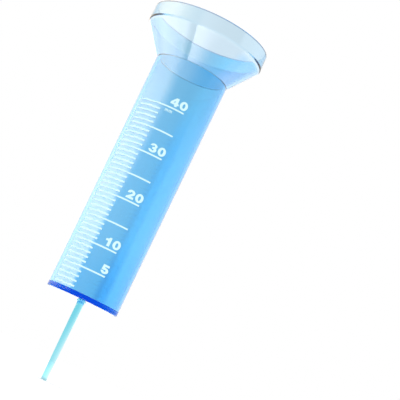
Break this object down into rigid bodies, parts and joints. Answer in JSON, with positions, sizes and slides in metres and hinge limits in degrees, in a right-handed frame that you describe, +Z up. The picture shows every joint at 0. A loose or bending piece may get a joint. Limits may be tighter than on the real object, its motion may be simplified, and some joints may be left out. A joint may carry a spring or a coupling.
{
  "type": "manual rain gauge",
  "caption": "Clear flared funnel on a long graduated measuring tube, closed by a flat disc with a slim tapered mounting peg below.",
  "frame": {"origin": "centre of the base disc's underside, where the mounting peg leaves it", "axes": "+Z up along the tube towards the collector, -Y the side with the printed scale, +X to the right when the scale faces the viewer"},
  "size_m": [0.072, 0.072, 0.2228],
  "materials": {
    "collector_plastic": "clear pale blue tinted plastic, gloss",
    "tube_plastic": "clear azure tinted plastic, gloss, with a white printed scale",
    "base_plastic": "deep royal blue clear plastic, gloss",
    "peg_plastic": "clear cyan tinted plastic, gloss"
  },
  "bodies": {
    "root": {"collector_funnel": "collector_plastic", "measuring_tube": "tube_plastic", "base_disc": "base_plastic", "mounting_peg": "peg_plastic"}
  },
  "joints": []
}
